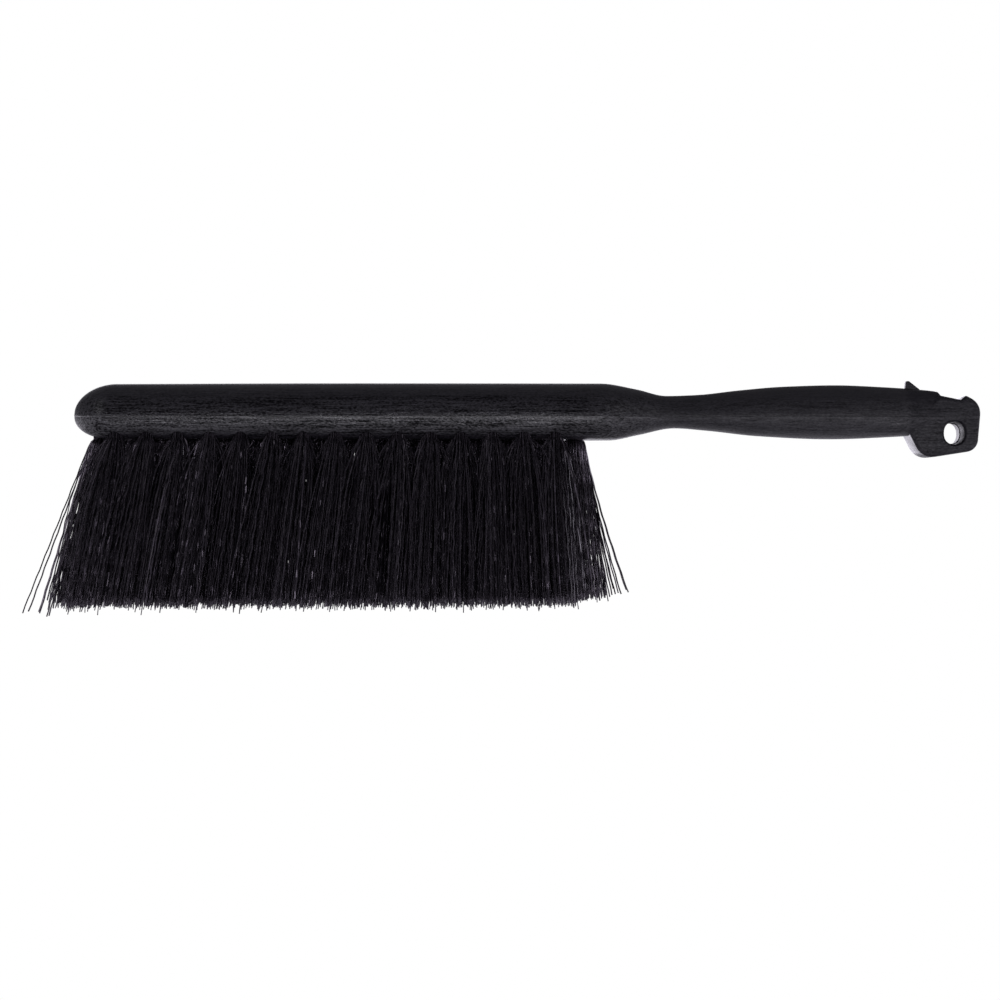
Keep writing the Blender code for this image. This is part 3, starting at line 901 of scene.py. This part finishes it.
def add_floor():
    """A pale floor that glows as a light: plain white to the camera, and in reflections and
    bounces dimmer near the brush and brighter away from it.
    """
    bm = bmesh.new()
    bmesh.ops.create_grid(bm, x_segments=1, y_segments=1, size=FLOOR_HALF)
    floor = object_from_bmesh("floor", bm)
    floor.location.z = FLOOR_Z
    material, tree, _ = new_material("pale_floor")
    place = tree.nodes.new("ShaderNodeTexCoord")
    reach = tree.nodes.new("ShaderNodeVectorMath")
    reach.operation = "LENGTH"
    tree.links.new(place.outputs["Object"], reach.inputs[0])
    strength = remap(tree, reach.outputs["Value"], *FLOOR_FADE, FLOOR_NEAR, FLOOR_FAR)
    surface = glow(tree, "ShaderNodeEmission", strength)
    tree.links.new(surface, tree.nodes["Material Output"].inputs["Surface"])
    floor.data.materials.append(material)


def add_world():
    """White to the camera. In reflections: bright behind the brush, dim in front and above."""
    world = bpy.data.worlds.new("studio")
    bpy.context.scene.world = world
    world.use_nodes = True
    tree = world.node_tree
    tree.nodes.clear()
    place = tree.nodes.new("ShaderNodeTexCoord")
    split = tree.nodes.new("ShaderNodeSeparateXYZ")
    tree.links.new(place.outputs["Generated"], split.inputs["Vector"])
    backdrop = product(
        tree,
        remap(tree, split.outputs["Y"], *BACKDROP_FADE_Y, 0.0, 1.0),
        remap(tree, split.outputs["Z"], *BACKDROP_FADE_Z, 1.0, 0.0),
        remap(tree, split.outputs["X"], *BACKDROP_FADE_X, 0.0, 1.0),
    )
    level = remap(tree, backdrop, 0.0, 1.0, WORLD_FRONT, WORLD_BACK)
    output = tree.nodes.new("ShaderNodeOutputWorld")
    tree.links.new(glow(tree, "ShaderNodeBackground", level), output.inputs["Surface"])


def add_area_light(name, place, target, size, power):
    light = bpy.data.lights.new(name, "AREA")
    light.shape = "RECTANGLE"
    light.size, light.size_y = size
    light.energy = power
    obj = bpy.data.objects.new(name, light)
    obj.location = place
    obj.rotation_euler = (Vector(target) - Vector(place)).to_track_quat("-Z", "Y").to_euler()
    obj.visible_camera = False
    bpy.context.scene.collection.objects.link(obj)


def add_camera():
    data = bpy.data.cameras.new("camera")
    data.sensor_width = SENSOR
    data.lens = SENSOR * CAMERA_DISTANCE / FRAME_WIDTH
    camera = bpy.data.objects.new("camera", data)
    camera.location = (VIEW_CENTRE[0], -CAMERA_DISTANCE, VIEW_CENTRE[1])
    camera.rotation_euler = (math.pi / 2, 0, 0)
    bpy.context.scene.collection.objects.link(camera)
    bpy.context.scene.camera = camera


bpy.context.scene.view_settings.view_transform = "Standard"
tufts = read_tufts()
build_block(tufts, block_plastic())
black = filament_plastic()
for tuft in tufts:
    extra = None
    if tuft["name"] == "tuft_middle_01":
        extra = loose_paths(tuft, LOOSE_LEFT_TIPS, LOOSE_POWERS[0])
    if tuft["name"] == "tuft_middle_16":
        extra = loose_paths(tuft, LOOSE_RIGHT_TIPS, LOOSE_POWERS[1])
    build_tuft(tuft, black, extra)
wire = galvanised_wire()
for name, node in frame["nodes"].items():
    if name.startswith("anchor_"):
        node.data.materials.clear()
        node.data.materials.append(wire)

add_floor()
add_world()
middle = Vector((VIEW_CENTRE[0], 0, VIEW_CENTRE[1]))
for name, place, size, power in AREA_LIGHTS:
    add_area_light(name, place, middle, size, power)
add_camera()
